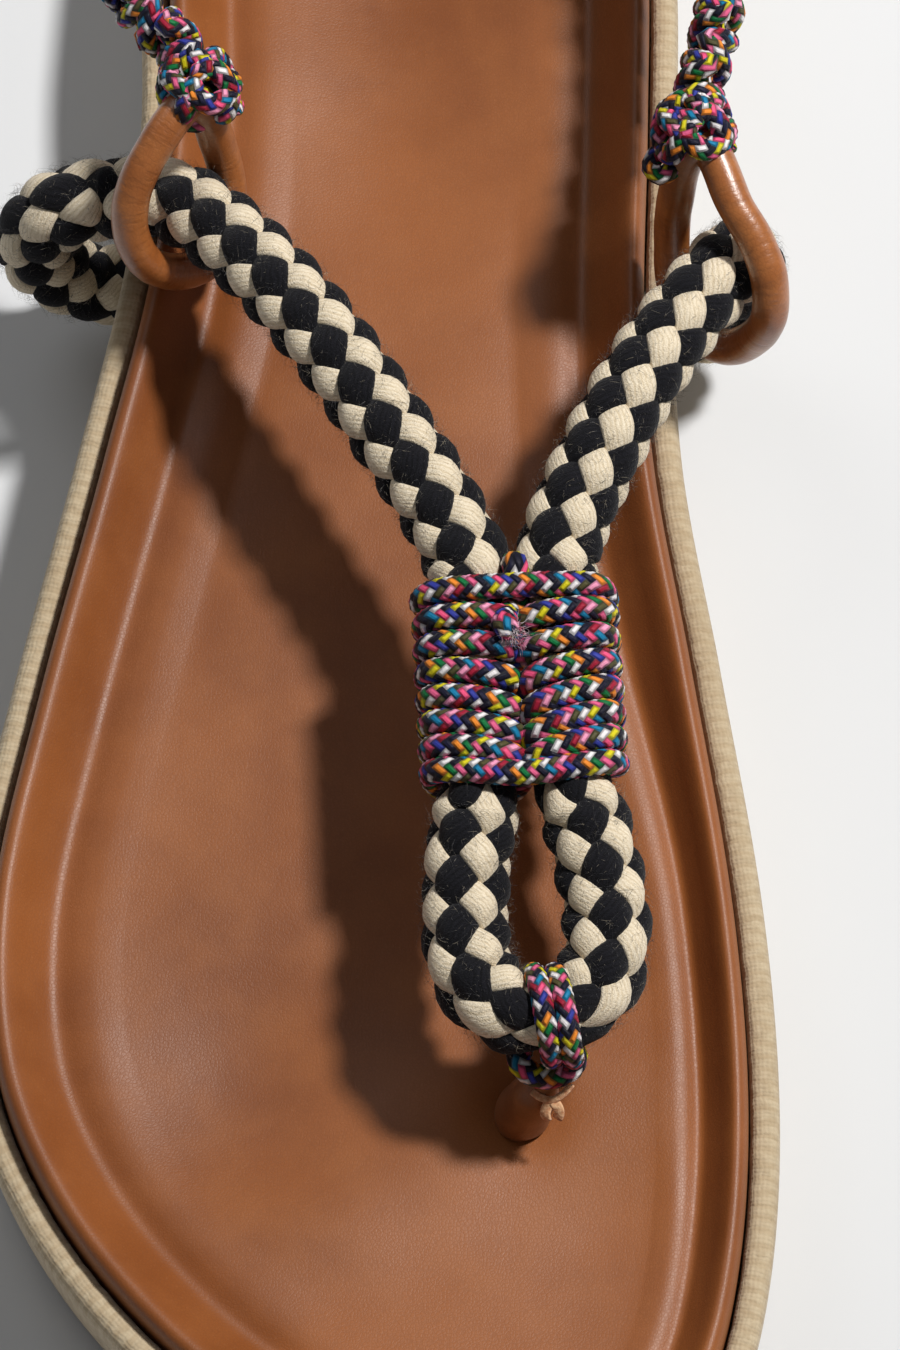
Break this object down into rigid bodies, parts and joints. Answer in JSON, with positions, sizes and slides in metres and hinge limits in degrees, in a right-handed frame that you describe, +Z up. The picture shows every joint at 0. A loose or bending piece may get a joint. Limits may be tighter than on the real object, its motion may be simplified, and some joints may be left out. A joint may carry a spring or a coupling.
{
  "type": "toe post sandal",
  "caption": "Right-foot toe post sandal: braided rope upper bound with thin cord, moulded leather footbed, cloth-edged sole and a knotted heel strap on leather loops.",
  "frame": {"origin": "on the floor under the middle of the sandal's whole box", "axes": "+Y towards the heel, +X towards the medial side, +Z up from the floor"},
  "size_m": [0.0994, 0.25, 0.0708],
  "materials": {
    "edge_cloth": "matte cream cloth with fine cross ribs",
    "footbed_leather": "satin tan leather",
    "rope_cotton": "matte black and cream braid",
    "thin_cord": "multicoloured fine braid",
    "post_leather": "satin tan leather",
    "raw_leather": "matte raw cut leather",
    "loop_leather": "satin round leather cord"
  },
  "bodies": {
    "root": {"sole": "edge_cloth", "footbed": "footbed_leather", "rope_upper": "rope_cotton", "rope_binding": "thin_cord", "toe_tie": "thin_cord", "toe_post": "post_leather", "post_knot": "raw_leather", "lateral_loop": "loop_leather", "medial_loop": "loop_leather", "heel_strap": "thin_cord"}
  },
  "joints": []
}
